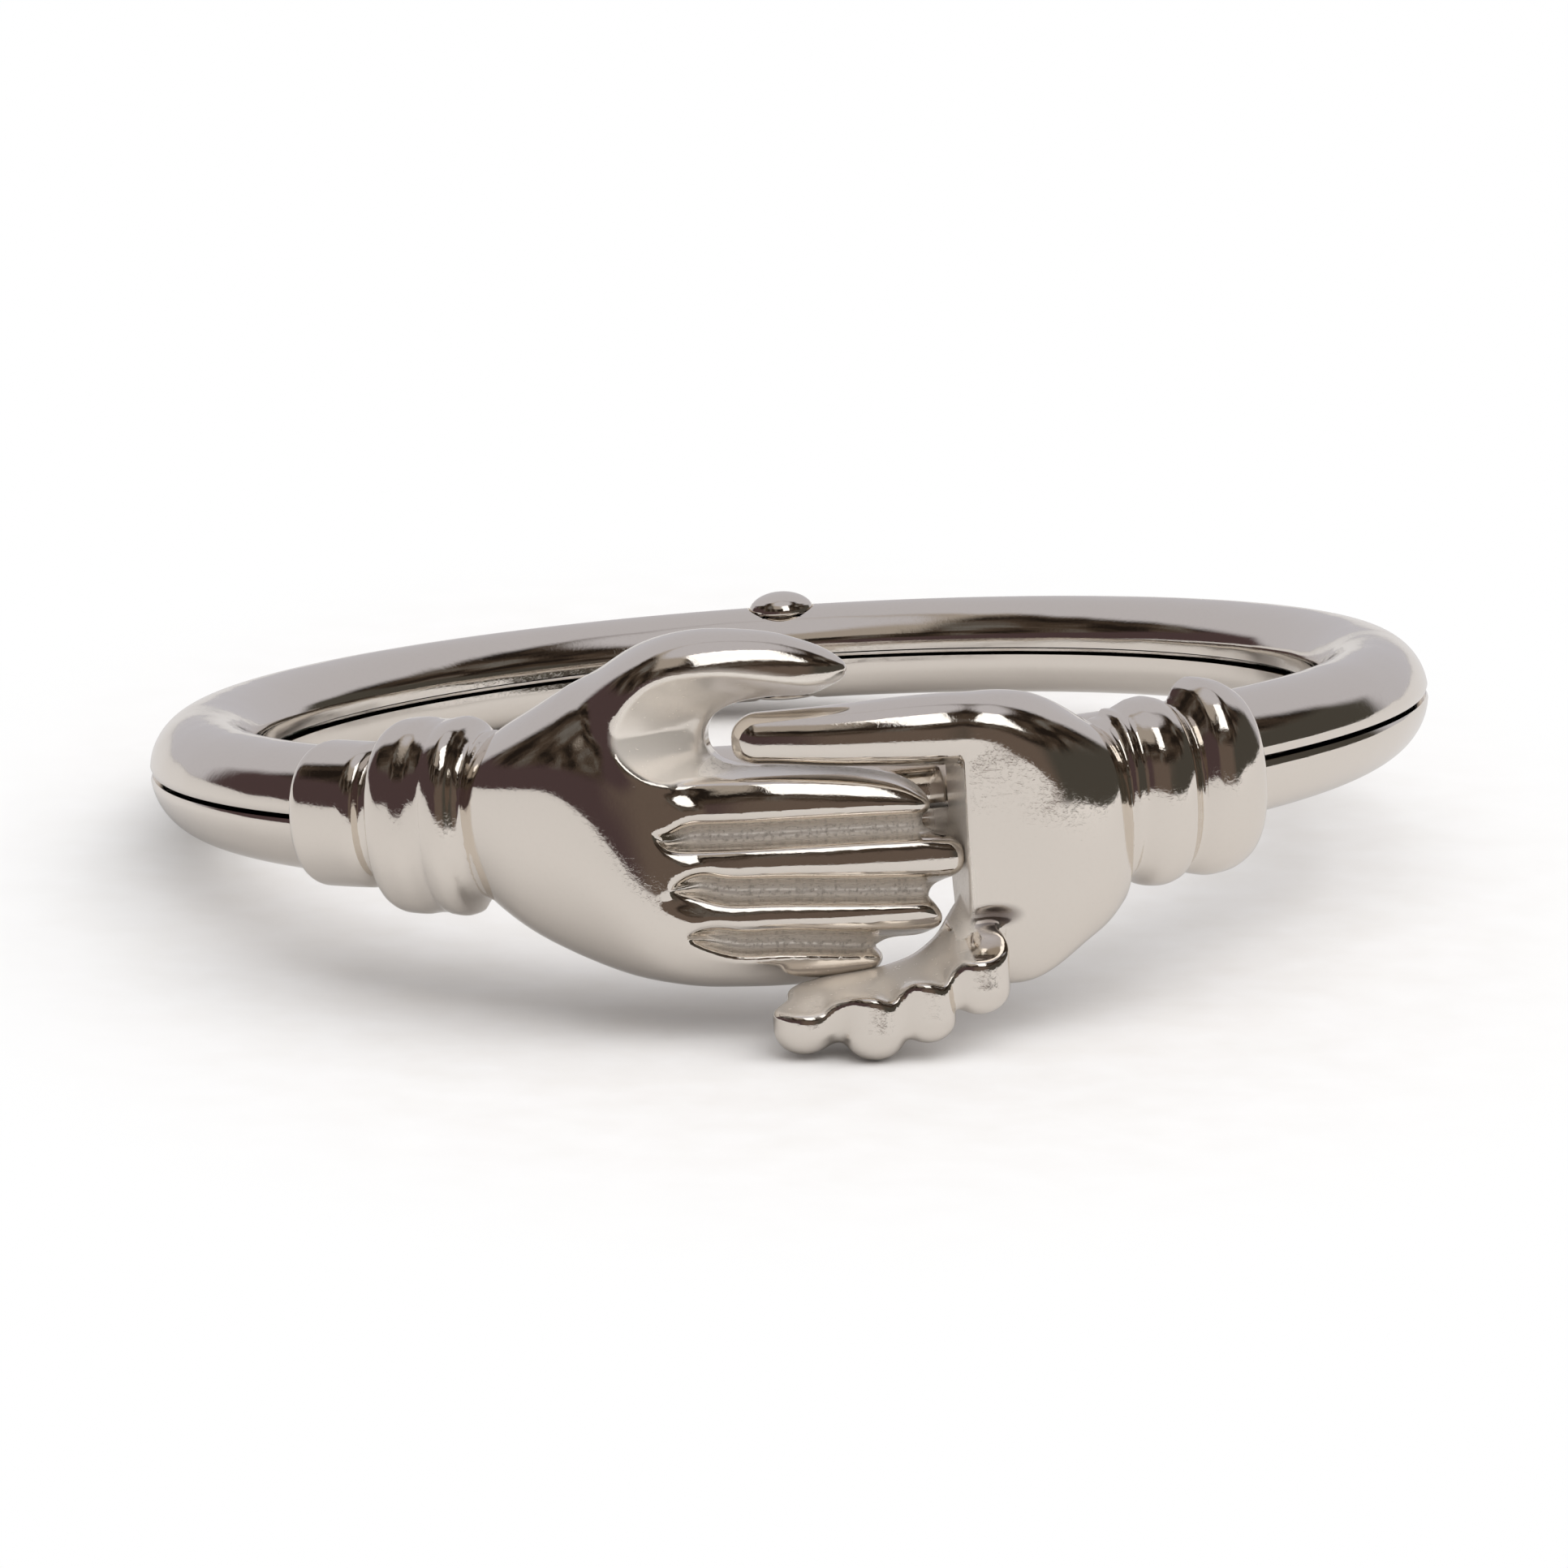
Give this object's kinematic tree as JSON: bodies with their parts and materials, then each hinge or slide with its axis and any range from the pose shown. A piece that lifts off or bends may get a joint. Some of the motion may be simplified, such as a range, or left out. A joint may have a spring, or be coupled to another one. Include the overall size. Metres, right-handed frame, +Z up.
{
  "type": "gimmel ring",
  "caption": "Finger ring of two flat-backed hoops on one rivet, each carrying a cast hand; closed, the two hands clasp over the front.",
  "frame": {"origin": "middle of the ring's outline, on the surface that the ring lies on", "axes": "+Z up from that surface, -Y towards the clasped hands, +X to the right as seen from the hands"},
  "size_m": [0.0214, 0.0238, 0.0065],
  "materials": {
    "left_hand_silver": "polished sterling silver",
    "right_hand_silver": "polished sterling silver",
    "rivet_silver": "polished sterling silver"
  },
  "bodies": {
    "lower_ring": {"right_hand_hoop": "right_hand_silver", "pivot_rivet": "rivet_silver"},
    "upper_ring": {"left_hand_hoop": "left_hand_silver"}
  },
  "joints": [
    {"name": "ring_opening", "type": "hinge", "parent": "lower_ring", "child": "upper_ring", "pos_m": [0.00009, 0.01094, 0.00109], "axis": [0.0791, -0.1151, -0.9902], "range_deg": [0, 180]}
  ]
}
